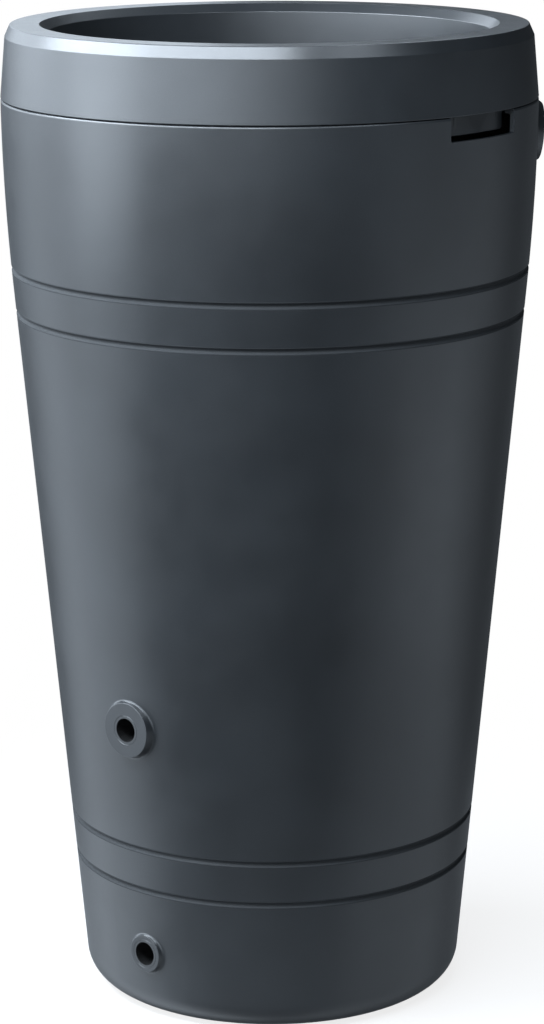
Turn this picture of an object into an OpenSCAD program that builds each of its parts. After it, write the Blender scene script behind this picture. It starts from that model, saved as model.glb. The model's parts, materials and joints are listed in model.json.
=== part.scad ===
// Rain barrel with a lift-off planting bowl. Millimetres.
// Origin: centre of the base, on the ground. +Z is up, and the two tap ports face -Y.

/* [Barrel] */
// Height of the barrel's rim above the ground
rim_z = 964; // [955:1:975]
// Outer diameter of the rim
rim_d = 561.2; // [558:0.2:564]
// Outer diameter that the straight wall would have at ground level
foot_d = 403; // [400:0.5:406]
// Angle of the straight wall from the vertical
taper = 5.18; // [5.1:0.02:5.24]
// Height at which the straight wall turns into the rounded shoulder
shoulder_z = 770; // [766:1:776]
// Wall thickness of the barrel
wall = 5; // [4:0.5:6]
// Outer radius of the bottom edge
bottom_edge_r = 34; // [28:1:38]
// Height by which the middle of the base stands clear of the ground
base_rise = 6; // [4:1:10]
// Outer radius of the raised middle of the base
base_rise_r = 152; // [140:1:155]
// Width of the inward-turned rim that the bowl rests on
seat_w = 11; // [9:0.5:12]
// Thickness of that rim
seat_t = 5; // [4:0.5:6]
// Rounding of the rim's outer edge
rim_round = 2.5; // [1:0.5:3]

/* [Grooves] */
// Heights of the middles of the two groove pairs
band_z = [169.8, 764.4]; // [150:800]
// Distance between the two grooves of a pair
band_w = 46; // [40:1:55]
// Radius of a groove's round bottom
groove_r = 3; // [2.5:0.5:4]
// Depth of a groove
groove_depth = 2.2; // [1.5:0.1:3]

/* [Grip slots] */
// Half of the angle that a grip slot spans
slot_half = 11; // [9:0.5:13]
// Height of a grip slot, below the rim
slot_h = 24; // [20:1:30]

/* [Ports] */
// Height of the upper tap port
upper_port_z = 328; // [300:1:360]
// Height of the lower tap port
lower_port_z = 75; // [70:1:90]
// Height of the inlet port
inlet_port_z = 923; // [920:1:930]
// Direction of the inlet port, anticlockwise from -Y
inlet_az = 135; // [115:5:155]
// Downward tilt of the inlet port's axis
inlet_tilt = 4; // [0:1:5]
// Bore of the inserts: the minor diameter of a G3/4 thread
port_bore_d = 24.1; // [24.1:0.1:24.6]
// Length of a threaded insert
insert_len = 24; // [20:1:26]
// Diameter of an insert's neck
insert_neck_d = 31; // [30:0.5:32]
// Face diameter, root diameter and stand-out of the upper tap port's boss
upper_boss = [58, 62, 7]; // [4:70]
// The same for the lower tap port's boss
lower_boss = [39.5, 43, 4.5]; // [3:50]
// The same for the inlet port's boss
inlet_boss = [60, 68, 6]; // [4:70]
// Width across the corners of an insert's hexagonal key
insert_key_d = 38; // [36:1:40]
// Thickness of that key
insert_key_t = 8; // [6:1:10]

/* [Planting bowl] */
// Overall height
top_z = 1040; // [1035:1:1045]
// Gap between the collar and the rim
seam_gap = 1.2; // [0.8:0.1:1.5]
// Height at which the collar's chamfer starts
chamfer_z = 1028; // [1024:1:1030]
// Collar diameter at the chamfer
chamfer_d = 550.2; // [548:0.2:552]
// Outer diameter of the flat top
flat_d = 539.4; // [537:0.2:541]
// Inner diameter of the flat top
lip_d = 478.2; // [474:0.2:482]
// Bowl diameter under the lip's bevel
mouth_d = 462; // [458:0.5:466]
// Depth of the lip's bevel
bevel_depth = 9; // [6:0.5:12]
// Depth of the bowl, from the flat top to its floor
bowl_depth = 215; // [180:5:230]
// Draft of the bowl's wall
bowl_draft = 3; // [2:0.5:4]
// Inner radius between the bowl's wall and floor
bowl_edge_r = 40; // [30:1:45]
// Wall thickness of the bowl
bowl_wall = 4.5; // [4:0.5:5]
// Number of ribs under the flat top
rib_count = 24; // [12:4:36]
// Rib thickness
rib_t = 3; // [2:0.5:4]
// How far the ribs' guides reach down inside the rim
guide_drop = 12; // [8:1:16]
// Clearance between the guides and the rim
guide_gap = 1; // [0.6:0.1:1.5]
// Clearance between the ribs' feet and the rim
foot_gap = 0.3; // [0.1:0.1:0.5]
// Half of the angle that a tongue spans
tongue_half = 10.1; // [8:0.1:10.5]
// How far a tongue reaches down inside the rim
tongue_drop = 20; // [16:1:22]
// Thickness of a tongue
tongue_t = 4; // [3:0.5:5]

/* [Strainer] */
// Diameter of the hole in the bowl's floor
drain_d = 60; // [50:1:70]
// Clearance around the strainer's body
strainer_gap = 0.4; // [0.3:0.1:0.6]
// Width of the strainer's flange beyond the hole
strainer_flange_w = 8; // [6:1:10]
// Thickness of the strainer's flange, walls and bottom
strainer_t = 2.5; // [2:0.5:3]
// Depth of the strainer below the bowl's floor
strainer_depth = 22; // [18:1:30]
// Diameter of one drain hole
sieve_hole_d = 4; // [3:0.5:5]
// Distance between drain holes
sieve_pitch = 8; // [7:0.5:10]

/* [Hidden] */
graphite = [0.2, 0.22, 0.25];
black = [0.06, 0.06, 0.07];
fine = 96;          // facets of small rounds
very_fine = 720;    // facets of rounds as wide as the barrel
cut = 1;            // how far a cut runs past the surface that it opens
lap = 2;            // how far joined shapes reach into each other

rim_r = rim_d / 2;
foot_r = foot_d / 2;
slope = tan(taper);
seat_r = rim_r - seat_w;
wall_normal = [cos(taper), -sin(taper)];

// Where the straight wall ends, in radius and height, and the arc that leads on from it to the rim
shoulder = [foot_r + slope * shoulder_z, shoulder_z];
to_rim = [rim_r, rim_z] - shoulder;
shoulder_arc_r = -(to_rim * to_rim) / (2 * (to_rim * wall_normal));
shoulder_arc_c = shoulder - shoulder_arc_r * wall_normal;

// Centre of the bottom edge's round, which touches the ground and the straight wall
bottom_edge_c = [foot_r + slope * bottom_edge_r - bottom_edge_r / cos(taper), bottom_edge_r];

// Outer radius of the barrel at a height on the straight wall, and on the rounded shoulder
function taper_r(z) = foot_r + slope * z;
function shoulder_r(z) = shoulder_arc_c.x + sqrt(pow(shoulder_arc_r, 2) - pow(z - shoulder_arc_c.y, 2));
function outer_r(z) = z < shoulder_z ? taper_r(z) : shoulder_r(z);

// One port: height, direction, downward tilt and boss
UPPER_PORT = [upper_port_z, 0, 0, upper_boss];
LOWER_PORT = [lower_port_z, 0, 0, lower_boss];
INLET_PORT = [inlet_port_z, inlet_az, inlet_tilt, inlet_boss];
PORTS = [UPPER_PORT, LOWER_PORT, INLET_PORT];
pad_wall = 5;       // thickness of the pad around an insert's key
pad_d = insert_key_d + 2 * pad_wall;
root_depth = 6;     // how far a boss reaches into the wall

mouth_r = mouth_d / 2;
lip_r = lip_d / 2;
flat_r = flat_d / 2;
chamfer_r = chamfer_d / 2;
bevel_z = top_z - bevel_depth;
floor_z = top_z - bowl_depth;
floor_r = mouth_r - tan(bowl_draft) * (bevel_z - floor_z);
guide_r = seat_r - guide_gap;
guide_w = 10;       // width of a guide
foot_edge = 3;      // distance of a rib's foot from the rim's outer edge
collar_foot_h = 6;  // height above the seam at which a rib meets the collar
rib_root_h = 20;    // height above the rim at which a rib's lower edge meets the bowl

// Half section of everything inside the barrel's skin, drawn in from it by inset and open above the rim
module barrel_outline(inset) {
    arc_start = shoulder - inset * wall_normal;
    on_axis = [0, arc_start.y + arc_start.x * slope];
    edge_top = bottom_edge_c + (bottom_edge_r - inset) * wall_normal;
    polygon([[0, inset], [bottom_edge_c.x, inset], edge_top, arc_start, on_axis]);
    translate(bottom_edge_c) circle(r = bottom_edge_r - inset, $fn = fine);
    intersection() {
        translate(shoulder_arc_c) circle(r = shoulder_arc_r - inset, $fn = very_fine);
        polygon([on_axis, arc_start, arc_start + rim_r * [1, -slope], [2 * rim_r, top_z], [0, top_z]]);
    }
}

// Rings cut into the wall, each a round-bottomed groove
module groove_section() {
    for (middle = band_z, side = [-1, 1]) {
        z = middle + side * band_w / 2;
        translate([outer_r(z), z] + (groove_r - groove_depth) * wall_normal)
            circle(r = groove_r, $fn = fine);
    }
}

// Quarter round that takes off the rim's outer edge
module rim_edge_section() {
    translate([rim_r - rim_round, rim_z - rim_round])
        difference() {
            square(2 * rim_round);
            circle(r = rim_round, $fn = fine);
        }
}

module barrel_section() {
    difference() {
        union() {
            difference() {
                barrel_outline(0);
                barrel_outline(wall);
            }
            translate([seat_r, rim_z - seat_t]) square([seat_w - wall / 2, seat_t]);
            polygon([
                [0, 0], [base_rise_r + wall, 0], [base_rise_r, base_rise + wall], [0, base_rise + wall],
            ]);
        }
        polygon([
            [0, -cut], [base_rise_r + cut, -cut], [base_rise_r - base_rise, base_rise], [0, base_rise],
        ]);
        translate([0, rim_z]) square([2 * rim_r, top_z]);
        groove_section();
        rim_edge_section();
    }
}

// Puts its children on a port: origin in the middle of the port's face, +Z out along the port's axis
module at_port(port) {
    stand = port[3][2];
    rotate([0, 0, port[1]])
        translate([0, -outer_r(port[0]), port[0]])
            rotate([90 + port[2], 0, 0])
                translate([0, 0, stand]) children();
}

// Raised cone outside the wall and a round pad inside it
module port_boss(port) {
    face_d = port[3][0];
    root_d = port[3][1];
    stand = port[3][2];
    spread = (root_d - face_d) / stand;
    height = stand + root_depth;
    difference() {
        at_port(port)
            translate([0, 0, -height])
                cylinder(h = height, d1 = face_d + spread * height, d2 = face_d, $fn = fine);
        rotate_extrude($fn = very_fine) barrel_outline(wall / 2);
        translate([0, 0, rim_z - rim_round]) cylinder(h = root_d, r = 2 * rim_r, $fn = fine);
    }
    at_port(port)
        translate([0, 0, -insert_len]) cylinder(h = insert_len - stand, d = pad_d, $fn = fine);
}

// Outside of a threaded insert: a round neck with a hexagonal key that stops it turning
module insert_body() {
    translate([0, 0, -insert_len]) cylinder(h = insert_len, d = insert_neck_d, $fn = fine);
    translate([0, 0, -insert_len / 2 - insert_key_t]) cylinder(h = insert_key_t, d = insert_key_d, $fn = 6);
}

module threaded_insert(port) {
    color(graphite)
        at_port(port)
            difference() {
                insert_body();
                translate([0, 0, -insert_len - cut])
                    cylinder(h = insert_len + 2 * cut, d = port_bore_d, $fn = fine);
            }
}

// One grip slot, cut through the wall and the rim
module grip_slot(az) {
    rotate([0, 0, az - slot_half])
        rotate_extrude(angle = 2 * slot_half, $fn = very_fine)
            translate([seat_r - cut, rim_z - slot_h]) square([seat_w + 2 * cut, slot_h + cut]);
}

module barrel_shell() {
    color(graphite)
        difference() {
            union() {
                rotate_extrude($fn = very_fine) barrel_section();
                for (port = PORTS) port_boss(port);
            }
            for (port = PORTS) at_port(port) insert_body();
            for (az = [0, 180]) grip_slot(az);
        }
}

// Half section of the bowl's inside below the bevel, let out by grow
module bowl_outline(grow) {
    edge_c = [floor_r - bowl_edge_r, floor_z + bowl_edge_r];
    draft_normal = [cos(bowl_draft), -sin(bowl_draft)];
    polygon([
        [0, floor_z - grow], [edge_c.x, floor_z - grow], edge_c + (bowl_edge_r + grow) * draft_normal,
        [mouth_r, bevel_z] + grow * draft_normal, [0, bevel_z],
    ]);
    translate(edge_c) circle(r = bowl_edge_r + grow, $fn = 2 * fine);
}

// Half section of the bowl with its rim and collar
module bowl_section() {
    under = top_z - bowl_wall;
    difference() {
        union() {
            bowl_outline(bowl_wall);
            polygon([
                [mouth_r - lap, top_z], [flat_r, top_z], [chamfer_r, chamfer_z], [rim_r, rim_z + seam_gap],
                [rim_r - bowl_wall, rim_z + seam_gap], [chamfer_r - bowl_wall, chamfer_z - lap],
                [flat_r - lap, under], [lip_r + lap, under],
                [mouth_r + lap, bevel_z - bowl_wall], [mouth_r - lap, bevel_z - bowl_wall],
            ]);
        }
        bowl_outline(0);
        polygon([
            [0, bevel_z - cut], [mouth_r, bevel_z - cut], [mouth_r, bevel_z], [lip_r, top_z],
            [lip_r, top_z + cut], [0, top_z + cut],
        ]);
    }
}

// Rib between the bowl and the collar: it stands on the rim, and its guide keeps the bowl centred in the rim
module rib() {
    in_wall = bowl_wall / 2;
    bowl_r = mouth_r + in_wall;
    foot_z = rim_z + foot_gap;
    guide_z = rim_z - guide_drop;
    rotate([90, 0, 0])
        linear_extrude(height = rib_t, center = true)
            polygon([
                [bowl_r, bevel_z], [lip_r, top_z - in_wall],
                [flat_r - in_wall, top_z - in_wall], [chamfer_r - in_wall, chamfer_z - in_wall],
                [rim_r - in_wall, rim_z + seam_gap + collar_foot_h], [rim_r - foot_edge, foot_z],
                [guide_r, foot_z], [guide_r, guide_z],
                [guide_r - guide_w, guide_z], [bowl_r - in_wall, rim_z + rib_root_h],
            ]);
}

// Curved tongue that hangs behind a grip slot
module tongue(az) {
    bottom = rim_z - tongue_drop;
    rotate([0, 0, az - tongue_half])
        rotate_extrude(angle = 2 * tongue_half, $fn = very_fine)
            translate([guide_r - tongue_t, bottom]) square([tongue_t, top_z - bowl_wall / 2 - bottom]);
}

module planting_bowl() {
    color(graphite)
        difference() {
            union() {
                rotate_extrude($fn = very_fine) bowl_section();
                for (i = [0 : rib_count - 1]) rotate([0, 0, 360 / rib_count * (i + 0.5)]) rib();
                for (az = [0, 180]) tongue(az);
            }
            translate([0, 0, floor_z - bowl_wall - cut])
                cylinder(h = bowl_wall + 2 * cut, d = drain_d, $fn = fine);
        }
}

// Places of the drain holes: a triangular grid, as far out as whole holes fit
function sieve_places(limit) =
    let (rows = ceil(limit / sieve_pitch * 1.2)) [
        for (i = [-rows : rows], j = [-rows : rows])
            let (place = sieve_pitch * [i + j / 2, j * sqrt(3) / 2])
                if (norm(place) < limit) place
    ];

module bowl_strainer() {
    body_r = drain_d / 2 - strainer_gap;
    inner_r = body_r - strainer_t;
    flange_r = drain_d / 2 + strainer_flange_w;
    bottom = floor_z - strainer_depth;
    color(black)
        difference() {
            rotate_extrude($fn = fine)
                polygon([
                    [0, bottom], [body_r, bottom], [body_r, floor_z], [flange_r, floor_z],
                    [flange_r, floor_z + strainer_t], [inner_r, floor_z + strainer_t],
                    [inner_r, bottom + strainer_t], [0, bottom + strainer_t],
                ]);
            for (place = sieve_places(inner_r - sieve_hole_d))
                translate([place.x, place.y, bottom - cut])
                    cylinder(h = strainer_t + 2 * cut, d = sieve_hole_d, $fn = 24);
        }
}

barrel_shell();
threaded_insert(UPPER_PORT);  // upper_tap_insert
threaded_insert(LOWER_PORT);  // lower_tap_insert
threaded_insert(INLET_PORT);  // inlet_insert
planting_bowl();
bowl_strainer();
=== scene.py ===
"""Rain barrel with a lift-off planting bowl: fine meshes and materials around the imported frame. Metres."""

import json
import math

import bmesh
import bpy
from mathutils import Euler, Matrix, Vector
from mathutils.geometry import delaunay_2d_cdt


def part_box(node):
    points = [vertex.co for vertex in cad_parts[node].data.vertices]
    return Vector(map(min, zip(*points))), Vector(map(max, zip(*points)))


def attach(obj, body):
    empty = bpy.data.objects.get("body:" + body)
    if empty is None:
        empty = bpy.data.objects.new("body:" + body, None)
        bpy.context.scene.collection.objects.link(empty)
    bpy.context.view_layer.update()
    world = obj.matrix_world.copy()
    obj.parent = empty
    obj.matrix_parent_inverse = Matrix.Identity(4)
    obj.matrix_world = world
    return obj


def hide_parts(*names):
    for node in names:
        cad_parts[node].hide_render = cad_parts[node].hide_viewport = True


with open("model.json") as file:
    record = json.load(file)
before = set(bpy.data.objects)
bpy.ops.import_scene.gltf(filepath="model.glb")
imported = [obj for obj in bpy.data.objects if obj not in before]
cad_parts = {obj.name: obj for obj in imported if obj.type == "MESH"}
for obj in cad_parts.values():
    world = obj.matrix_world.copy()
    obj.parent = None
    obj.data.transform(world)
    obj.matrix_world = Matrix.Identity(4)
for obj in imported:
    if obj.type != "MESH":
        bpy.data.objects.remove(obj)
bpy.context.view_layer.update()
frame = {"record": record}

MM = 0.001
TAU = 2 * math.pi
TINY = 1e-6

# ---- Sizes from the frame ----
SHELL_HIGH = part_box("barrel_shell")[1]
BOWL_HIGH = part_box("planting_bowl")[1]
STRAINER_LOW, STRAINER_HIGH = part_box("bowl_strainer")
MOUNTS = {mount["name"]: mount for mount in frame["record"]["mounts"]}
RIM_Z = SHELL_HIGH.z
RIM_R = BOWL_HIGH.x
TOP_Z = BOWL_HIGH.z
BORE_R = MOUNTS["upper_tap"]["dims"]["r_mm"] * MM
INSERT_LENGTH = MOUNTS["upper_tap"]["dims"]["length_mm"] * MM

# ---- Barrel ----
FOOT_R = 201.5 * MM            # radius that the straight wall would have at ground level
TAPER = math.radians(5.18)
SHOULDER_Z = 770 * MM
WALL = 5 * MM
BOTTOM_EDGE_R = 34 * MM
BASE_RISE = 6 * MM
BASE_RISE_R = 152 * MM
SEAT_WIDTH = 11 * MM
SEAT_THICKNESS = 5 * MM
RIM_ROUND = 2.5 * MM
BAND_HEIGHTS = (169.8 * MM, 764.4 * MM)
BAND_WIDTH = 46 * MM
GROOVE_R = 3 * MM
GROOVE_DEPTH = 2.2 * MM
GROOVE_SOFTNESS = 0.5 * MM     # of the grooves' edges
GROOVE_REACH = 4.2 * MM        # of the close rows on both sides of a groove's middle
GROOVE_ROWS = 16
DULL_HALF = 4 * MM             # of the band with the duller finish in a groove
COLUMNS = 360                  # one a degree
ROW_STEP = 7 * MM
INNER_ROW_SKIP = 4             # the inner wall has one row in four
FINE_REACH = 60 * MM           # of its full rows, from the ports and from the rim
HEEL_STEPS = 14
FLAT_STEP = 16 * MM            # longest stretch in the base
SLOT_HALF = 11                 # degrees
SLOT_HEIGHT = 24 * MM
SLOT_CORNER_R = 2.5 * MM
SLOT_MIDDLES = (90, 270)       # degrees, anticlockwise from -Y

# ---- Ports: face radius, root radius and stand-out of each boss ----
BOSSES = {
    "upper_tap": (29 * MM, 31 * MM, 7 * MM),
    "lower_tap": (19.75 * MM, 21.5 * MM, 4.5 * MM),
    "inlet": (30 * MM, 34 * MM, 6 * MM),
}
NECK_R = 15.5 * MM
KEY_R = 19 * MM
KEY_FRONT = 12 * MM
KEY_THICKNESS = 8 * MM
PAD_R = 24 * MM
PATCH_REACH = 44 * MM          # of the patch of wall that a port replaces
THREAD_PITCH = 1.814 * MM      # G3/4
THREAD_DEPTH = 1.162 * MM

# ---- Planting bowl ----
SEAM_GAP = 0.8 * MM
CHAMFER_Z = 1028 * MM
CHAMFER_R = 275.1 * MM
FLAT_R = 269.7 * MM
LIP_R = 239.1 * MM
MOUTH_R = 231 * MM
BEVEL_DEPTH = 9 * MM
BOWL_DEPTH = 215 * MM
BOWL_DRAFT = math.radians(3)
BOWL_EDGE_R = 40 * MM
BOWL_WALL = 4.5 * MM
RIB_COUNT = 24
RIB_THICKNESS = 3 * MM
GUIDE_DROP = 12 * MM
GUIDE_GAP = 1 * MM
FOOT_GAP = 0.3 * MM
TONGUE_HALF = 10.1             # degrees
TONGUE_DROP = 20 * MM
TONGUE_THICKNESS = 4 * MM

# ---- Strainer ----
DRAIN_R = 30 * MM
STRAINER_GAP = 0.4 * MM
STRAINER_WALL = 2.5 * MM
SIEVE_HOLE_R = 2 * MM
SIEVE_PITCH = 8 * MM

# ---- Camera ----
CAMERA_DISTANCE = 3.487        # from the barrel's axis, level
CAMERA_HEIGHT = 1.345
CAMERA_AZIMUTH = math.radians(39.5)
CAMERA_PITCH = math.radians(13.37)
CAMERA_ROLL = math.radians(-0.2)
CAMERA_LENS = 117.1            # millimetres, on a 36 mm sensor
CAMERA_SHIFT = 0.0009

# ---- Floor: at its opacity out to the first radius, and gone at the second ----
FLOOR_SOLID_R = 0.25
FLOOR_R_MAX = 0.95
FLOOR_OPACITY = 0.2

# ---- Light ----
# A sector is the azimuths, from the camera's, where it starts, is full from, is full to and ends, then its
# strength.
COOL = (0.89, 1.0, 1.12)
WALL_LIGHT = (-165, -112, -45, 42, 7.8)
WALL_LOW_EDGE = (-0.09, 0.04)  # sines of the elevations at which it starts and is full
WALL_HIGH_EDGE = (0.40, 0.20)
GROUND_EDGE = (0.0, -0.16)
GROUND_LEFT = (-150, -115, -85, -60, 1.7)
GROUND_RIGHT = (30, 60, 100, 135, 0.6)
GROUND_LIGHT = 0.09
AIR_LIGHT = 0.03

# ---- Plastics ----
GRAPHITE = (0.009, 0.0103, 0.0116)
NEAR_BLACK = (0.006, 0.006, 0.007)
# Near-black painted shade for the inside of the inserts' bores, darker than any of the plastics
BORE_SHADE = (0.002, 0.002, 0.002)
PLASTIC_ROUGHNESS = 0.34
GROOVE_ROUGHNESS = 0.7
COLOUR_DRIFT = 0.14            # share by which the colour varies
SHEEN_DRIFT = 0.03

# ---- Values worked out from the sizes above ----
SEAT_R = RIM_R - SEAT_WIDTH
SLOPE = math.tan(TAPER)
SHOULDER = Vector((FOOT_R + SLOPE * SHOULDER_Z, SHOULDER_Z))
WALL_NORMAL = Vector((math.cos(TAPER), -math.sin(TAPER)))
TO_RIM = Vector((RIM_R, RIM_Z)) - SHOULDER
SHOULDER_ARC_R = -TO_RIM.length_squared / (2 * TO_RIM.dot(WALL_NORMAL))
SHOULDER_ARC_C = SHOULDER - SHOULDER_ARC_R * WALL_NORMAL
EDGE_CENTRE = Vector((FOOT_R + SLOPE * BOTTOM_EDGE_R - BOTTOM_EDGE_R / math.cos(TAPER), BOTTOM_EDGE_R))
EDGE_TOP = EDGE_CENTRE + BOTTOM_EDGE_R * WALL_NORMAL
BEVEL_Z = TOP_Z - BEVEL_DEPTH
FLOOR_Z = TOP_Z - BOWL_DEPTH
FLOOR_R = MOUTH_R - math.tan(BOWL_DRAFT) * (BEVEL_Z - FLOOR_Z)
GUIDE_R = SEAT_R - GUIDE_GAP


# ---------------------------------------------------------------- outlines

def wall_r(z, inset=0.0):
    """Radius of the barrel's wall at a height, drawn in by inset along its normal."""
    if z < SHOULDER_Z:
        return FOOT_R + SLOPE * z - inset / math.cos(TAPER)
    return SHOULDER_ARC_C.x + math.sqrt((SHOULDER_ARC_R - inset) ** 2 - (z - SHOULDER_ARC_C.y) ** 2)


def inner_wall_r(z):
    return wall_r(z, WALL)


def groove_heights():
    """Heights of the grooves' middles: one along each edge of each band."""
    return [middle + side * BAND_WIDTH / 2 for middle in BAND_HEIGHTS for side in (-1, 1)]


def groove_cut(z):
    """Depth of the grooves at a height: a round bottom, with softened edges."""
    overhang = GROOVE_R - GROOVE_DEPTH
    half_width = math.sqrt(GROOVE_R ** 2 - overhang ** 2)
    away = min(abs(z - height) for height in groove_heights())
    if away < half_width:
        depth = math.sqrt(GROOVE_R ** 2 - away ** 2) - overhang
    else:
        depth = -(away - half_width) * half_width / overhang
    blend = max(GROOVE_SOFTNESS - abs(depth), 0) / GROOVE_SOFTNESS
    return max(depth, 0) + blend ** 2 * GROOVE_SOFTNESS / 4


def rounded(corners, steps=6):
    """Points along an outline of corners (r, z, radius), each corner turned into an arc of that radius."""
    points = []
    for i, (r, z, radius) in enumerate(corners):
        here = Vector((r, z))
        if radius == 0:
            points.append(here)
            continue
        before = (Vector(corners[i - 1][:2]) - here).normalized()
        after = (Vector(corners[(i + 1) % len(corners)][:2]) - here).normalized()
        half = before.angle(after) / 2
        centre = here + (before + after).normalized() * radius / math.sin(half)
        start = here + before * radius / math.tan(half) - centre
        turn = math.pi - 2 * half
        if before.x * after.y - before.y * after.x > 0:
            turn = -turn
        for k in range(steps + 1):
            angle = turn * k / steps
            spoke = Vector((
                start.x * math.cos(angle) - start.y * math.sin(angle),
                start.x * math.sin(angle) + start.y * math.cos(angle),
            ))
            points.append(centre + spoke)
    return points


def subdivided(points, step):
    """The same outline with no stretch longer than step."""
    out = [points[0]]
    for a, b in zip(points, points[1:]):
        count = max(1, math.ceil((b - a).length / step))
        out += [a.lerp(b, k / count) for k in range(1, count + 1)]
    return out


def curve(a, bend, b, steps):
    """Points of a quadratic curve from a towards bend and on to b, without a."""
    out = []
    for k in range(1, steps + 1):
        t = k / steps
        out.append(a * (1 - t) ** 2 + bend * 2 * t * (1 - t) + b * t ** 2)
    return out


# ---------------------------------------------------------------- mesh helpers

def turned(r, z, degrees):
    """Point at a radius and height, degrees anticlockwise from -Y."""
    a = math.radians(degrees)
    return Vector((r * math.sin(a), -r * math.cos(a), z))


def add_ring(bm, r, z, columns=COLUMNS):
    """Vertices round the barrel's axis, or a single one on it."""
    if r < TINY:
        return [bm.verts.new((0, 0, z))]
    return [bm.verts.new(turned(r, z, 360 * j / columns)) for j in range(columns)]


def join_rings(bm, a, b, skip=()):
    """Faces between two rings of the same count, or a fan where one is a single point."""
    count = max(len(a), len(b))
    for j in range(count):
        if j in skip:
            continue
        k = (j + 1) % count
        if len(a) == 1:
            bm.faces.new((a[0], b[j], b[k]))
        elif len(b) == 1:
            bm.faces.new((a[j], a[k], b[0]))
        else:
            bm.faces.new((a[j], a[k], b[k], b[j]))


def join_all(bm, rings, closed=False):
    """Faces between each ring and the next, and from the last to the first if closed."""
    for a, b in zip(rings, rings[1:]):
        join_rings(bm, a, b)
    if closed:
        join_rings(bm, rings[-1], rings[0])


def add_rings(bm, loops):
    return [[bm.verts.new(point) for point in loop] for loop in loops]


def use_second_material(bm, chosen):
    """Gives the faces that a test picks by their middle the second of the piece's materials."""
    for face in bm.faces:
        if chosen(face.calc_center_median()):
            face.material_index = 1


def finished(bm, name, body, replaced=None, crease=35):
    """Turns bm into an object that rides on its body, smooth but for its sharp edges."""
    loose = [v for v in bm.verts if not v.link_faces]
    bmesh.ops.delete(bm, geom=loose, context="VERTS")
    bmesh.ops.recalc_face_normals(bm, faces=bm.faces)
    mesh = bpy.data.meshes.new(name)
    bm.to_mesh(mesh)
    bm.free()
    mesh.shade_smooth()
    mesh.set_sharp_from_angle(angle=math.radians(crease))
    piece = bpy.data.objects.new(name, mesh)
    bpy.context.scene.collection.objects.link(piece)
    weighted = piece.modifiers.new("weighted_normals", "WEIGHTED_NORMAL")
    weighted.keep_sharp = True
    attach(piece, body)
    if replaced:
        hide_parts(replaced)
    return piece


# ---------------------------------------------------------------- ports

class Port:
    """Place of a port: origin is where its axis meets the wall, u runs round the barrel, v up, axis out."""

    def __init__(self, name):
        mount = MOUNTS[name]
        self.face_r, self.root_r, self.stand = BOSSES[name]
        self.axis = Vector(mount["axis"]).normalized()
        self.face = Vector(mount["pos_m"])
        self.origin = self.face - self.axis * self.stand
        self.u = Vector((0, 0, 1)).cross(self.axis).normalized()
        self.v = self.axis.cross(self.u)
        self.azimuth = math.degrees(math.atan2(self.axis.x, -self.axis.y)) % 360

    def at(self, radius, angle, height):
        """Point at a radius and angle about the axis and a height above the port's face."""
        across = self.u * math.cos(angle) + self.v * math.sin(angle)
        return self.face + across * radius + self.axis * height

    def on_wall(self, point, wall=wall_r):
        """point moved along the axis onto the wall."""
        point = point.copy()
        for _ in range(8):
            out = Vector((point.x, point.y, 0))
            point += self.axis * (wall(point.z) - out.length) / self.axis.dot(out.normalized())
        return point

    def angle_of(self, point):
        """Direction from the port's axis to a point, anticlockwise from u."""
        away = point - self.origin
        return math.atan2(away.dot(self.v), away.dot(self.u))

    def root_at(self, angle):
        """Radius at which the boss's cone meets the wall in one direction."""
        spread = (self.root_r - self.face_r) / self.stand
        radius = self.root_r
        for _ in range(12):
            foot = self.on_wall(self.at(radius, angle, 0))
            depth = (self.face - foot).dot(self.axis)
            radius = self.face_r + spread * depth
        return radius


def key_r(angle):
    """Radius of the insert's hexagonal key in one direction."""
    sixth = TAU / 6
    return KEY_R * math.cos(sixth / 2) / math.cos(angle % sixth - sixth / 2)


def port_outside(port, border, ceiling):
    """Loops of points from a patch's border over the boss to the edge of its hole."""
    fillet, edge, lip = 2 * MM, 0.6 * MM, 0.25 * MM
    shrink = 0.3 * MM
    columns = []
    for point in border:
        angle = port.angle_of(point)
        root = port.root_at(angle)
        foot = port.on_wall(port.at(root, angle, 0))
        skirt = port.on_wall(port.at(root + fillet, angle, 0))
        depth = (port.face - foot).dot(port.axis)
        climb = port.at(root, angle, -depth).lerp(port.at(port.face_r, angle, 0), fillet / depth)
        column = [port.on_wall(point.lerp(skirt, t)) for t in (0.35, 0.7, 0.9, 1)]
        column += curve(skirt, foot, climb, 4)
        brow = climb.lerp(port.at(port.face_r, angle, 0), 1 - edge / depth)
        column += [climb.lerp(brow, 0.5), brow]
        column += curve(brow, port.at(port.face_r, angle, 0), port.at(port.face_r - edge, angle, 0), 3)
        column.append(port.at((port.face_r + NECK_R) / 2, angle, 0))
        column += [port.at(NECK_R + lip, angle, 0), port.at(NECK_R, angle, -lip)]
        for k, place in enumerate(column):
            column[k] = under(place, ceiling - shrink * (k + 1), on_wall=k < 4)
        columns.append(column)
    return [list(loop) for loop in zip(*columns)]


def under(point, ceiling, on_wall):
    """point held below a height, and still on the wall if it lay there."""
    if point.z <= ceiling:
        return point
    point = Vector((point.x, point.y, ceiling))
    if on_wall:
        scale = wall_r(ceiling) / math.hypot(point.x, point.y)
        point = Vector((point.x * scale, point.y * scale, ceiling))
    return point


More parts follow.
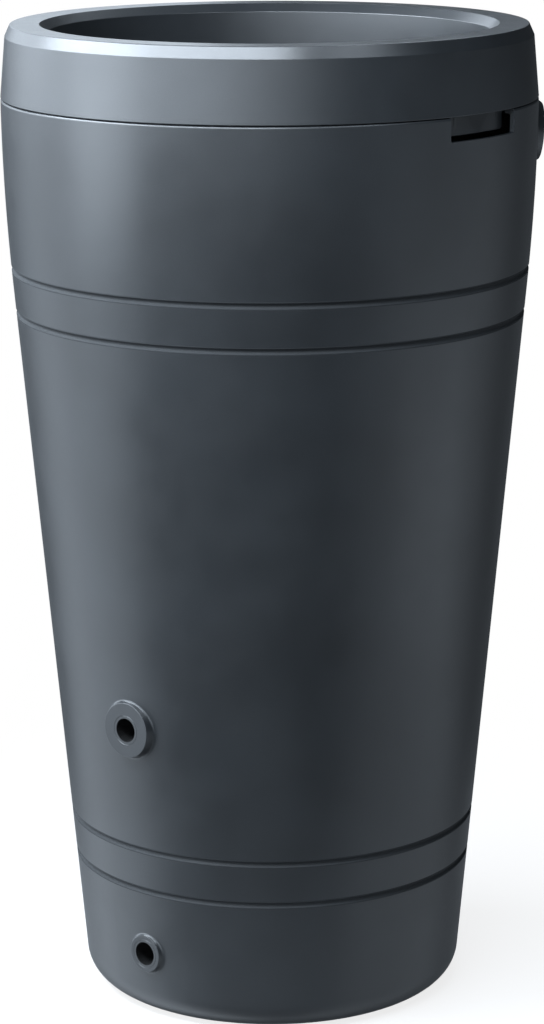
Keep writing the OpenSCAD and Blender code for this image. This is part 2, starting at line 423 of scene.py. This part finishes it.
def port_inside(port, border):
    """Loops from the edge of the hole through the insert's seat, over the pad and out to the inner border."""
    key_back = KEY_FRONT + KEY_THICKNESS
    lip, fillet = 0.25 * MM, 2 * MM
    columns = []
    for point in border:
        angle = port.angle_of(point)
        key = key_r(angle)
        foot = port.on_wall(port.at(PAD_R, angle, 0), inner_wall_r)
        skirt = port.on_wall(port.at(PAD_R + fillet, angle, 0), inner_wall_r)
        back = port.at(PAD_R, angle, -INSERT_LENGTH + 1 * MM)
        climb = foot.lerp(back, 0.3)
        column = [port.at(NECK_R, angle, -KEY_FRONT), port.at(key, angle, -KEY_FRONT)]
        column += [port.at(key, angle, -key_back), port.at(NECK_R, angle, -key_back)]
        column += [port.at(NECK_R, angle, -INSERT_LENGTH + lip), port.at(NECK_R + lip, angle, -INSERT_LENGTH)]
        column.append(port.at(PAD_R - 1 * MM, angle, -INSERT_LENGTH))
        column += curve(column[-1], port.at(PAD_R, angle, -INSERT_LENGTH), back, 3)
        column.append(climb)
        column += curve(climb, foot, skirt, 3)
        column += [port.on_wall(skirt.lerp(point, t), inner_wall_r) for t in (0.3, 0.65)]
        columns.append(column)
    return [list(loop) for loop in zip(*columns)]


# ---------------------------------------------------------------- barrel shell

def wall_rows():
    """Heights of the wall's rows, from its foot to the rim's rounding. One is the grip slots' floor."""
    low, slot_floor, high = EDGE_TOP.y, RIM_Z - SLOT_HEIGHT, RIM_Z - RIM_ROUND
    rows = []
    for a, b in ((low, slot_floor), (slot_floor, high)):
        count = round((b - a) / ROW_STEP)
        rows += [a + (b - a) * k / count for k in range(count)]
    return rows + [high]


def groove_rows():
    """Close rows across the grooves."""
    steps = [2 * k / GROOVE_ROWS - 1 for k in range(GROOVE_ROWS + 1)]
    return [height + GROOVE_REACH * step for height in groove_heights() for step in steps]


def near(z, heights, reach):
    """Whether any of the heights is within reach of z."""
    return any(abs(z - height) < reach for height in heights)


def nearest(heights, z):
    """Index of the height that is nearest to z."""
    return min(range(len(heights)), key=lambda i: abs(heights[i] - z))


def patch_border(rings, low, high, columns):
    """Vertices round a rectangle of a grid of rings: bottom, right side, top, left side."""
    first, last = columns
    loop = [rings[low][c % COLUMNS] for c in range(first, last)]
    loop += [rings[row][last % COLUMNS] for row in range(low, high)]
    loop += [rings[high][c % COLUMNS] for c in range(last, first, -1)]
    loop += [rings[row][first % COLUMNS] for row in range(high, low, -1)]
    return loop


def in_groove(point):
    """Whether a point lies in the hollow of one of the grooves."""
    inside = math.hypot(point.x, point.y) < (wall_r(point.z) + inner_wall_r(point.z)) / 2
    return not inside and near(point.z, groove_heights(), DULL_HALF)


def heel(radius):
    """Arc round the bottom edge, from the base to the wall, without its ends."""
    bend = math.pi / 2 - TAPER
    turns = [bend * k / HEEL_STEPS for k in range(1, HEEL_STEPS)]
    return [EDGE_CENTRE + radius * Vector((math.sin(turn), -math.cos(turn))) for turn in turns]


def underside():
    """Outline from the middle of the base out to the foot of the wall."""
    flat = rounded([
        (0, BASE_RISE, 0), (BASE_RISE_R - BASE_RISE, BASE_RISE, 2 * MM), (BASE_RISE_R, 0, 1 * MM),
        (EDGE_CENTRE.x, 0, 0),
    ])
    return subdivided(flat, FLAT_STEP) + heel(BOTTOM_EDGE_R)


def inside_of_base():
    """Outline from the inner wall's foot to the middle."""
    flat = rounded([
        (EDGE_CENTRE.x, WALL, 0), (BASE_RISE_R + WALL / 2, WALL, 2 * MM),
        (BASE_RISE_R, BASE_RISE + WALL, 2 * MM), (0, BASE_RISE + WALL, 0),
    ])
    return heel(BOTTOM_EDGE_R - WALL)[::-1] + subdivided(flat, FLAT_STEP)


def over_the_rim(inner_top):
    """Outline over the rim's rounded outer edge, along the seat and round its inner edge to the wall."""
    under_seat = RIM_Z - SEAT_THICKNESS
    return rounded([
        (RIM_R, RIM_Z - RIM_ROUND, 0), (RIM_R, RIM_Z, RIM_ROUND - 0.1 * MM), (SEAT_R, RIM_Z, 0.8 * MM),
        (SEAT_R, under_seat, 0.8 * MM), (inner_wall_r(under_seat), under_seat, 1.5 * MM),
        (inner_wall_r(inner_top), inner_top, 0),
    ])[1:-1]


def port_patch(port, rows):
    """Lowest and highest row of the patch that a port replaces, and its first and last column."""
    half = math.ceil(math.degrees(PATCH_REACH / wall_r(port.origin.z)))
    middle = round(port.azimuth)
    low, high = (rows[nearest(rows, port.origin.z + side * PATCH_REACH)] for side in (-1, 1))
    return low, high, (middle - half, middle + half)


def fill_patch(bm, port, patch, outer, inner):
    """Builds a port into its patch. outer and inner are the wall's heights and rings."""
    low, high, columns = patch
    borders = []
    for heights, rings in (outer, inner):
        borders.append(patch_border(rings, nearest(heights, low), nearest(heights, high), columns))
    outside, inside = borders
    loops = port_outside(port, [v.co.copy() for v in outside], RIM_Z - RIM_ROUND)
    loops += port_inside(port, [v.co.copy() for v in inside])
    join_all(bm, [outside] + add_rings(bm, loops) + [inside])


def close_slot(bm, middle, around, outer_floor, inner_floor):
    """Sides and floor of a grip slot, from the rings round its sides. Returns its lower corners' edges."""
    corners = []
    for side in (-SLOT_HALF, SLOT_HALF):
        wall_face = bm.faces.new([ring[(middle + side) % COLUMNS] for ring in around])
        ends = {wall_face.verts[0], wall_face.verts[len(around) - 1]}
        corners.append(next(edge for edge in wall_face.edges if set(edge.verts) == ends))
    for offset in range(-SLOT_HALF, SLOT_HALF):
        j, k = (middle + offset) % COLUMNS, (middle + offset + 1) % COLUMNS
        bm.faces.new((outer_floor[j], outer_floor[k], inner_floor[k], inner_floor[j]))
    return corners


def barrel_shell(material, groove_material):
    """The tank: a wall of rings, with ports built into patches of it and grip slots cut out of its rim."""
    ports = [Port(name) for name in BOSSES]
    port_heights = [port.origin.z for port in ports]
    rows = wall_rows()
    inner_rows = [
        z for i, z in enumerate(rows)
        if i % INNER_ROW_SKIP == 0 or near(z, port_heights, FINE_REACH) or z > RIM_Z - FINE_REACH
    ]
    inner_top = RIM_Z - SEAT_THICKNESS - 2 * MM
    outer_rows = sorted([z for z in rows if not near(z, groove_heights(), ROW_STEP)] + groove_rows())

    bm = bmesh.new()
    under_rings = [add_ring(bm, p.x, p.y) for p in underside()]
    outer = [add_ring(bm, wall_r(z) - groove_cut(z), z) for z in outer_rows]
    rim_rings = [add_ring(bm, p.x, p.y) for p in over_the_rim(inner_top)]
    inner = [add_ring(bm, inner_wall_r(min(z, inner_top)), min(z, inner_top)) for z in inner_rows]
    base_rings = [add_ring(bm, p.x, p.y) for p in inside_of_base()]
    join_all(bm, under_rings + [outer[0]])
    join_all(bm, [inner[0]] + base_rings)

    slot_columns = {
        (middle + offset) % COLUMNS for middle in SLOT_MIDDLES for offset in range(-SLOT_HALF, SLOT_HALF)
    }
    slot_floor = RIM_Z - SLOT_HEIGHT
    patches = [port_patch(port, inner_rows) for port in ports]

    def skipped(z):
        """Columns that are left open above the row at z, for the slots and the ports."""
        columns = set(slot_columns) if z > slot_floor - TINY else set()
        for low, high, (first, last) in patches:
            if low - TINY < z < high - TINY:
                columns |= {column % COLUMNS for column in range(first, last)}
        return columns

    for z, a, b in zip(outer_rows, outer, outer[1:]):
        join_rings(bm, a, b, skipped(z))
    for z, a, b in zip(inner_rows, inner, inner[1:]):
        join_rings(bm, b, a, skipped(z))
    over = [outer[-1]] + rim_rings + [inner[-1]]
    for a, b in zip(over, over[1:]):
        join_rings(bm, a, b, slot_columns)
    for port, patch in zip(ports, patches):
        fill_patch(bm, port, patch, (outer_rows, outer), (inner_rows, inner))

    outer_slot = outer[nearest(outer_rows, slot_floor):]
    inner_slot = inner[nearest(inner_rows, slot_floor):]
    corner_edges = []
    for middle in SLOT_MIDDLES:
        around = outer_slot + rim_rings + inner_slot[::-1]
        corner_edges += close_slot(bm, middle, around, outer_slot[0], inner_slot[0])
    bmesh.ops.bevel(bm, geom=corner_edges, offset=SLOT_CORNER_R, segments=4, affect="EDGES", profile=0.5)

    use_second_material(bm, in_groove)
    piece = finished(bm, "barrel", "barrel", "barrel_shell")
    piece.data.materials.append(material)
    piece.data.materials.append(groove_material)
    return piece


# ---------------------------------------------------------------- planting bowl

def bowl_body(bm):
    """The bowl with its lip and collar, as one turned outline."""
    lip_under = TOP_Z - BOWL_WALL
    thin_wall = BOWL_WALL / math.cos(BOWL_DRAFT)
    inner_chamfer_z = CHAMFER_Z - 2 * MM
    under_floor_r = FLOOR_R + thin_wall - math.tan(BOWL_DRAFT) * BOWL_WALL
    outline = rounded([
        (DRAIN_R, FLOOR_Z - BOWL_WALL, 0.6 * MM),
        (under_floor_r, FLOOR_Z - BOWL_WALL, BOWL_EDGE_R + BOWL_WALL),
        (MOUTH_R + thin_wall, BEVEL_Z - BOWL_WALL, 3 * MM),
        (LIP_R + 2 * MM, lip_under, 2 * MM),
        (FLAT_R - 2 * MM, lip_under, 2 * MM),
        (CHAMFER_R - BOWL_WALL, inner_chamfer_z, 2 * MM),
        (RIM_R - BOWL_WALL, RIM_Z + SEAM_GAP, 0.8 * MM),
        (RIM_R, RIM_Z + SEAM_GAP, 0.8 * MM),
        (CHAMFER_R, CHAMFER_Z, 2.5 * MM),
        (FLAT_R, TOP_Z, 1.2 * MM),
        (LIP_R, TOP_Z, 1.2 * MM),
        (MOUTH_R, BEVEL_Z, 1.5 * MM),
        (FLOOR_R, FLOOR_Z, BOWL_EDGE_R),
        (DRAIN_R, FLOOR_Z, 0.6 * MM),
    ], steps=8)
    rings = [add_ring(bm, p.x, p.y) for p in subdivided(outline, 10 * MM)]
    join_all(bm, rings, closed=True)


def add_prism(bm, sections):
    """Closed solid through sections, each a loop of points of the same count."""
    rings = add_rings(bm, sections)
    join_all(bm, rings)
    bm.faces.new(list(reversed(rings[0])))
    bm.faces.new(rings[-1])


def rib(bm, degrees):
    """One rib, its edges eased by thinner outer sections."""
    in_wall = BOWL_WALL / 2
    bowl_r = MOUTH_R + in_wall
    foot_z, guide_z = RIM_Z + FOOT_GAP, RIM_Z - GUIDE_DROP
    corners = [
        (bowl_r, BEVEL_Z, 0), (LIP_R, TOP_Z - in_wall, 0), (FLAT_R - in_wall, TOP_Z - in_wall, 0),
        (CHAMFER_R - in_wall, CHAMFER_Z - in_wall, 0), (RIM_R - in_wall, RIM_Z + SEAM_GAP + 6 * MM, 0),
        (RIM_R - 3 * MM, foot_z, 0.8 * MM), (GUIDE_R, foot_z, 0), (GUIDE_R, guide_z, 1.5 * MM),
        (GUIDE_R - 10 * MM, guide_z, 1.5 * MM), (bowl_r - in_wall, RIM_Z + 20 * MM, 0),
    ]
    outline = rounded(corners, steps=4)
    middle = sum(outline, Vector((0, 0))) / len(outline)
    sections = []
    for across, scale in ((-1, 0.99), (-0.8, 1), (0.8, 1), (1, 0.99)):
        shift = across * RIB_THICKNESS / 2
        angle = math.radians(degrees)
        along = Vector((math.cos(angle), math.sin(angle), 0)) * shift
        sections.append([
            turned(middle.x + (p.x - middle.x) * scale, middle.y + (p.y - middle.y) * scale, degrees) + along
            for p in outline
        ])
    add_prism(bm, sections)


def tongue(bm, middle):
    """Curved panel behind a grip slot, with rounded lower corners and eased edges."""
    bottom, top = RIM_Z - TONGUE_DROP, TOP_Z - BOWL_WALL / 2
    corner, ease = 3 * MM, 0.8 * MM
    mid_r = GUIDE_R - TONGUE_THICKNESS / 2
    half = math.radians(TONGUE_HALF) * mid_r

    def outline(inset):
        shape = rounded([
            (-half + inset, top, 0), (-half + inset, bottom + inset, corner - inset),
            (half - inset, bottom + inset, corner - inset), (half - inset, top, 0),
        ], steps=5)
        return subdivided(shape + [shape[0]], 5 * MM)[:-1]

    sections = []
    for depth, inset in ((-1, ease), (-0.6, 0), (0.6, 0), (1, ease)):
        radius = mid_r + depth * TONGUE_THICKNESS / 2
        sections.append([turned(radius, p.y, middle + math.degrees(p.x / mid_r)) for p in outline(inset)])
    rings = add_rings(bm, sections)
    join_all(bm, rings)
    for ring in (rings[0], rings[-1]):
        fill_panel(bm, ring)


def fill_panel(bm, ring):
    """Fills a nearly flat loop with triangles."""
    edges = [e for v in ring for e in v.link_edges if e.other_vert(v) in ring]
    bmesh.ops.triangle_fill(bm, use_beauty=True, use_dissolve=False, edges=list(set(edges)))


def planting_bowl(material):
    """The bowl with its ribs and its tongues, one behind each grip slot."""
    bm = bmesh.new()
    bowl_body(bm)
    for i in range(RIB_COUNT):
        rib(bm, 360 / RIB_COUNT * (i + 0.5) + 90)
    for middle in SLOT_MIDDLES:
        tongue(bm, middle)
    piece = finished(bm, "bowl", "bowl", "planting_bowl")
    piece.data.materials.append(material)
    return piece


# ---------------------------------------------------------------- threaded inserts

def threaded_insert(name, node, material, bore_shade_material):
    """Sleeve with an inside G3/4 thread, a lead-in at its mouth and a hexagonal key round its middle. Its
    bore takes a near-black painted shade.
    """
    port = Port(name)
    columns, per_turn = 96, 8
    lead_in, ease = 0.9 * MM, 0.25 * MM
    key_back = KEY_FRONT + KEY_THICKNESS

    def around(radius, height):
        return [port.at(radius, TAU * j / columns, height) for j in range(columns)]

    def thread_r(height, j):
        """Rounded thread form that runs out towards both ends."""
        turn = height / THREAD_PITCH - j / columns
        wave = 0.5 + 0.5 * math.cos(TAU * turn)
        ends = min(-height - lead_in, INSERT_LENGTH + height - lead_in) / THREAD_PITCH
        return BORE_R + THREAD_DEPTH * min(max(ends, 0), 1) * wave

    loops = [around(BORE_R + lead_in, -INSERT_LENGTH)]
    rows = math.ceil((INSERT_LENGTH - 2 * lead_in) / THREAD_PITCH * per_turn)
    for i in range(rows + 1):
        height = -INSERT_LENGTH + lead_in + (INSERT_LENGTH - 2 * lead_in) * i / rows
        loops.append([
            port.at(thread_r(height, j), TAU * j / columns, height) for j in range(columns)
        ])
    loops += [around(BORE_R + lead_in * 0.7, 0), around(NECK_R - ease, 0), around(NECK_R, -ease)]
    loops.append(around(NECK_R, -KEY_FRONT))
    for depth in (KEY_FRONT, key_back):
        loops.append([
            port.at(key_r(TAU * j / columns), TAU * j / columns, -depth) for j in range(columns)
        ])
    loops += [around(NECK_R, -key_back), around(NECK_R, ease - INSERT_LENGTH)]
    loops.append(around(NECK_R - ease, -INSERT_LENGTH))
    bm = bmesh.new()
    join_all(bm, add_rings(bm, loops), closed=True)
    # The thread and lead-in take the second material: near-black painted shade for the dark inside of the
    # hole
    use_second_material(bm, lambda point: port.axis.cross(point - port.face).length < BORE_R + THREAD_DEPTH)
    piece = finished(bm, node + "_sleeve", "barrel", node, crease=40)
    piece.data.materials.append(material)
    piece.data.materials.append(bore_shade_material)
    return piece


# ---------------------------------------------------------------- strainer

def sieve_places(limit):
    """Middles of the sieve's holes, on a triangular grid, within a radius."""
    rows = math.ceil(limit / SIEVE_PITCH * 1.2)
    places = [
        SIEVE_PITCH * Vector((i + j / 2, j * math.sqrt(3) / 2))
        for i in range(-rows, rows + 1) for j in range(-rows, rows + 1)
    ]
    return [place for place in places if place.length < limit]


def perforated_disc(bm, rim_ring, places, z):
    """Flat face inside a ring with round holes left open. Returns the holes' rings."""
    sides = 24
    points = [v.co.xy for v in rim_ring]
    edges = [(j, (j + 1) % len(points)) for j in range(len(points))]
    holes = []
    for place in places:
        start = len(points)
        points += [place + SIEVE_HOLE_R * Vector((math.cos(TAU * j / sides), math.sin(TAU * j / sides)))
                   for j in range(sides)]
        edges += [(start + j, start + (j + 1) % sides) for j in range(sides)]
        holes.append(range(start, start + sides))
    spots, _, faces, _, _, _ = delaunay_2d_cdt(points, edges, [], 1, 1e-7)
    verts = list(rim_ring) + [bm.verts.new((p.x, p.y, z)) for p in spots[len(rim_ring):]]
    for face in faces:
        middle = sum((spots[i] for i in face), Vector((0, 0))) / len(face)
        if all((middle - place).length > SIEVE_HOLE_R * 0.98 for place in places):
            bm.faces.new([verts[i] for i in face])
    return [[verts[i] for i in hole] for hole in holes]


def bowl_strainer(material):
    """Flanged cup with a perforated bottom, which hangs in the bowl's drain hole."""
    columns = 96
    body_r = DRAIN_R - STRAINER_GAP
    inner_r = body_r - STRAINER_WALL
    flange_r = STRAINER_HIGH.x
    bottom, floor, top = STRAINER_LOW.z, FLOOR_Z, STRAINER_HIGH.z
    plate = bottom + STRAINER_WALL
    outline = rounded([
        (body_r - 3 * MM, bottom, 0), (body_r, bottom, 1 * MM), (body_r, floor, 0.4 * MM),
        (flange_r, floor, 0.5 * MM), (flange_r, top, 1 * MM), (inner_r, top, 1 * MM),
        (inner_r, plate, 1 * MM), (inner_r - 2 * MM, plate, 0),
    ])
    bm = bmesh.new()
    rings = [add_ring(bm, p.x, p.y, columns) for p in outline]
    join_all(bm, rings)
    places = sieve_places(inner_r - 2 * SIEVE_HOLE_R)
    lower = perforated_disc(bm, rings[0], places, bottom)
    upper = perforated_disc(bm, rings[-1], places, plate)
    for a, b in zip(lower, upper):
        join_rings(bm, a, b)
    piece = finished(bm, "strainer", "strainer", "bowl_strainer", crease=40)
    piece.data.materials.append(material)
    return piece


# ---------------------------------------------------------------- materials

class PlasticNodes:
    """A material's node tree, with the nodes that the plastics are built from."""

    def __init__(self, name):
        self.material = bpy.data.materials.new(name)
        self.material.use_nodes = True
        self.nodes, self.links = self.material.node_tree.nodes, self.material.node_tree.links
        self.shader = self.nodes["Principled BSDF"]
        self.place = self.nodes.new("ShaderNodeTexCoord").outputs["Object"]

    def noise(self, scale, detail, rough=0.5):
        node = self.nodes.new("ShaderNodeTexNoise")
        node.inputs["Scale"].default_value = scale
        node.inputs["Detail"].default_value = detail
        node.inputs["Roughness"].default_value = rough
        self.links.new(self.place, node.inputs["Vector"])
        return node.outputs["Fac"]

    def pebbles(self, scale):
        node = self.nodes.new("ShaderNodeTexVoronoi")
        node.feature = "SMOOTH_F1"
        node.inputs["Scale"].default_value = scale
        node.inputs["Smoothness"].default_value = 0.6
        self.links.new(self.place, node.inputs["Vector"])
        return node.outputs["Distance"]

    def ramp(self, value, stops):
        node = self.nodes.new("ShaderNodeValToRGB")
        for element, (position, shade) in zip(node.color_ramp.elements, stops):
            element.position = position
            element.color = (*shade, 1)
        self.links.new(value, node.inputs["Fac"])
        return node.outputs["Color"]

    def spread(self, value, low, high):
        """value, a noise, stretched to run from low to high."""
        node = self.nodes.new("ShaderNodeMapRange")
        node.inputs["From Min"].default_value = 0.3
        node.inputs["From Max"].default_value = 0.7
        node.inputs["To Min"].default_value = low
        node.inputs["To Max"].default_value = high
        self.links.new(value, node.inputs["Value"])
        return node.outputs["Result"]

    def multiplied(self, a, b):
        node = self.nodes.new("ShaderNodeMix")
        node.data_type = "RGBA"
        node.blend_type = "MULTIPLY"
        node.inputs["Factor"].default_value = 1
        self.links.new(a, node.inputs["A"])
        self.links.new(b, node.inputs["B"])
        return node.outputs["Result"]

    def added(self, a, b):
        node = self.nodes.new("ShaderNodeMath")
        node.operation = "ADD"
        self.links.new(a, node.inputs[0])
        self.links.new(b, node.inputs[1])
        return node.outputs["Value"]

    def bump(self, height, strength, distance, normal=None):
        node = self.nodes.new("ShaderNodeBump")
        node.inputs["Strength"].default_value = strength
        node.inputs["Distance"].default_value = distance
        self.links.new(height, node.inputs["Height"])
        if normal:
            self.links.new(normal, node.inputs["Normal"])
        return node.outputs["Normal"]


def moulded_plastic(name, colour, roughness, grain=1.0, specular=0.5):
    """Moulded polymer: colour that drifts a little, a fine pebbled grain and a sheen that varies over it."""
    tree = PlasticNodes(name)
    shader = tree.shader
    shader.inputs["IOR"].default_value = 1.5
    shader.inputs["Specular IOR Level"].default_value = specular

    darker = [c * (1 - COLOUR_DRIFT) for c in colour]
    lighter = [c * (1 + COLOUR_DRIFT) for c in colour]
    drift = tree.ramp(tree.noise(9, 3), [(0.35, darker), (0.65, lighter)])
    flecks = tree.ramp(tree.noise(1400, 2), [(0.35, (0.8, 0.8, 0.8)), (0.7, (1.2, 1.2, 1.2))])
    tree.links.new(tree.multiplied(drift, flecks), shader.inputs["Base Color"])

    broad = tree.spread(tree.noise(14, 4, 0.6), roughness - SHEEN_DRIFT, roughness + SHEEN_DRIFT)
    fine = tree.spread(tree.noise(700, 2), -SHEEN_DRIFT, SHEEN_DRIFT)
    tree.links.new(tree.added(broad, fine), shader.inputs["Roughness"])

    pebbled = tree.bump(tree.pebbles(900), 0.25 * grain, 0.12 * MM)
    waved = tree.bump(tree.noise(22, 2), 0.35, 0.5 * MM, pebbled)
    tree.links.new(waved, shader.inputs["Normal"])
    return tree.material


def floor_material():
    """Matt pale grey that melts into the white surround towards the floor's edge."""
    material = bpy.data.materials.new("floor_paint")
    material.use_nodes = True
    nodes, links = material.node_tree.nodes, material.node_tree.links
    shader = nodes["Principled BSDF"]
    shader.inputs["Base Color"].default_value = (0.65, 0.65, 0.65, 1)
    shader.inputs["Roughness"].default_value = 0.9
    shader.inputs["Specular IOR Level"].default_value = 0.1
    away = nodes.new("ShaderNodeVectorMath")
    away.operation = "LENGTH"
    links.new(nodes.new("ShaderNodeTexCoord").outputs["Object"], away.inputs[0])
    solid = nodes.new("ShaderNodeMapRange")
    solid.interpolation_type = "SMOOTHSTEP"
    solid.inputs["From Min"].default_value = FLOOR_SOLID_R
    solid.inputs["From Max"].default_value = FLOOR_R_MAX
    solid.inputs["To Min"].default_value = FLOOR_OPACITY
    solid.inputs["To Max"].default_value = 0
    links.new(away.outputs["Value"], solid.inputs["Value"])
    links.new(solid.outputs["Result"], shader.inputs["Alpha"])
    return material


# ---------------------------------------------------------------- camera, floor and light

def add_camera():
    """The photo's camera, as fitted to the rings that it shows."""
    data = bpy.data.cameras.new("camera")
    data.lens = CAMERA_LENS
    data.sensor_width = 36
    data.shift_x = CAMERA_SHIFT
    camera = bpy.data.objects.new("camera", data)
    camera.location = turned(CAMERA_DISTANCE, CAMERA_HEIGHT, math.degrees(CAMERA_AZIMUTH))
    look = Euler((math.pi / 2 - CAMERA_PITCH, 0, CAMERA_AZIMUTH)).to_matrix().to_4x4()
    roll = Euler((0, 0, CAMERA_ROLL)).to_matrix().to_4x4()
    camera.rotation_euler = (look @ roll).to_euler()
    bpy.context.scene.collection.objects.link(camera)
    bpy.context.scene.camera = camera


def add_floor():
    """Square floor that its material fades out before it ends."""
    half = FLOOR_R_MAX
    mesh = bpy.data.meshes.new("floor")
    corners = [(-half, -half, 0), (half, -half, 0), (half, half, 0), (-half, half, 0)]
    mesh.from_pydata(corners, [], [(0, 1, 2, 3)])
    mesh.materials.append(floor_material())
    floor = bpy.data.objects.new("floor", mesh)
    bpy.context.scene.collection.objects.link(floor)


def add_softbox(name, azimuth, distance, height, size, watts, aim_z):
    """Area light, at an azimuth from the camera's (to the right is positive), aimed at the barrel's axis."""
    data = bpy.data.lights.new(name, "AREA")
    data.shape = "RECTANGLE"
    data.size, data.size_y = size
    data.energy = watts
    data.color = COOL
    light = bpy.data.objects.new(name, data)
    light.location = turned(distance, height, math.degrees(CAMERA_AZIMUTH) + azimuth)
    towards = Vector((0, 0, aim_z)) - light.location
    light.rotation_euler = towards.to_track_quat("-Z", "Y").to_euler()
    bpy.context.scene.collection.objects.link(light)


def add_world():
    """Dim studio with a bright wall at the left and lit ground at both sides, but white to the camera."""
    world = bpy.data.worlds.new("studio")
    bpy.context.scene.world = world
    world.use_nodes = True
    nodes, links = world.node_tree.nodes, world.node_tree.links

    def maths(operation, a, b):
        node = nodes.new("ShaderNodeMath")
        node.operation = operation
        for socket, value in zip(node.inputs, (a, b)):
            if isinstance(value, (int, float)):
                socket.default_value = value
            else:
                links.new(value, socket)
        return node.outputs["Value"]

    def step(value, start, end, strength=1.0):
        """From 0 where the value is start to strength where it is end."""
        node = nodes.new("ShaderNodeMapRange")
        node.interpolation_type = "SMOOTHSTEP"
        node.inputs["From Min"].default_value = start
        node.inputs["From Max"].default_value = end
        node.inputs["To Max"].default_value = strength
        links.new(value, node.inputs["Value"])
        return node.outputs["Result"]

    def sector(start, full_from, full_to, end, strength):
        opening = step(azimuth, start, full_from, strength)
        return maths("MULTIPLY", opening, step(azimuth, end, full_to))

    axes = nodes.new("ShaderNodeSeparateXYZ")
    turn = nodes.new("ShaderNodeVectorRotate")
    turn.rotation_type = "Z_AXIS"
    turn.inputs["Angle"].default_value = -CAMERA_AZIMUTH
    links.new(nodes.new("ShaderNodeTexCoord").outputs["Generated"], turn.inputs["Vector"])
    links.new(turn.outputs["Vector"], axes.inputs["Vector"])
    ahead = maths("MULTIPLY", axes.outputs["Y"], -1)
    azimuth = maths("MULTIPLY", maths("ARCTAN2", axes.outputs["X"], ahead), 180 / math.pi)
    height = axes.outputs["Z"]

    wall_band = maths("MULTIPLY", step(height, *WALL_LOW_EDGE), step(height, *WALL_HIGH_EDGE))
    wall = maths("MULTIPLY", sector(*WALL_LIGHT), wall_band)
    ground_sides = maths("ADD", sector(*GROUND_LEFT), sector(*GROUND_RIGHT))
    ground = maths("MULTIPLY", maths("ADD", ground_sides, GROUND_LIGHT), step(height, *GROUND_EDGE))
    total = maths("ADD", maths("ADD", wall, ground), AIR_LIGHT)

    lit = nodes["Background"]
    lit.inputs["Color"].default_value = (*COOL, 1)
    links.new(total, lit.inputs["Strength"])
    seen = nodes.new("ShaderNodeBackground")
    seen.inputs["Color"].default_value = (1, 1, 1, 1)
    choose = nodes.new("ShaderNodeMixShader")
    links.new(nodes.new("ShaderNodeLightPath").outputs["Is Camera Ray"], choose.inputs["Fac"])
    links.new(lit.outputs["Background"], choose.inputs[1])
    links.new(seen.outputs["Background"], choose.inputs[2])
    links.new(choose.outputs["Shader"], nodes["World Output"].inputs["Surface"])


add_camera()
add_floor()
add_world()
add_softbox("left", azimuth=-70, distance=2.3, height=0.8, size=(1.2, 0.8), watts=18, aim_z=0.6)
add_softbox("upper_left", azimuth=-82, distance=1.5, height=2.0, size=(1.8, 0.8), watts=125, aim_z=1.0)
add_softbox("upper_front", azimuth=-21, distance=1.4, height=2.2, size=(1.5, 0.6), watts=75, aim_z=1.0)
add_softbox("upper_right", azimuth=42, distance=1.6, height=2.6, size=(0.8, 0.8), watts=15, aim_z=1.0)
add_softbox("rear", azimuth=-155, distance=1.3, height=1.5, size=(1.1, 0.6), watts=5, aim_z=1.0)
add_softbox("over", azimuth=165, distance=1.4, height=2.4, size=(0.8, 0.8), watts=15, aim_z=0.6)
add_softbox("low_right", azimuth=76, distance=1.3, height=0.15, size=(0.8, 0.4), watts=0.5, aim_z=0.3)

groove_plastic = moulded_plastic("graphite_groove_plastic", GRAPHITE, GROOVE_ROUGHNESS, specular=0.25)
barrel_shell(moulded_plastic("graphite_plastic", GRAPHITE, PLASTIC_ROUGHNESS), groove_plastic)
planting_bowl(moulded_plastic("graphite_bowl_plastic", GRAPHITE, PLASTIC_ROUGHNESS))
sleeve_plastic = moulded_plastic("graphite_sleeve_plastic", [c * 0.8 for c in GRAPHITE], 0.38, grain=0.3)
# Painted shade: the bores are near black with little specular, standing in for the shadow inside the holes
bore_shade_plastic = moulded_plastic("bore_painted_shade", BORE_SHADE, 0.8, grain=0.2, specular=0.1)
for port_name, node_name in (
    ("upper_tap", "upper_tap_insert"), ("lower_tap", "lower_tap_insert"), ("inlet", "inlet_insert"),
):
    threaded_insert(port_name, node_name, sleeve_plastic, bore_shade_plastic)
bowl_strainer(moulded_plastic("black_plastic", NEAR_BLACK, 0.35, grain=0.3))

bpy.context.scene.view_settings.view_transform = "Standard"
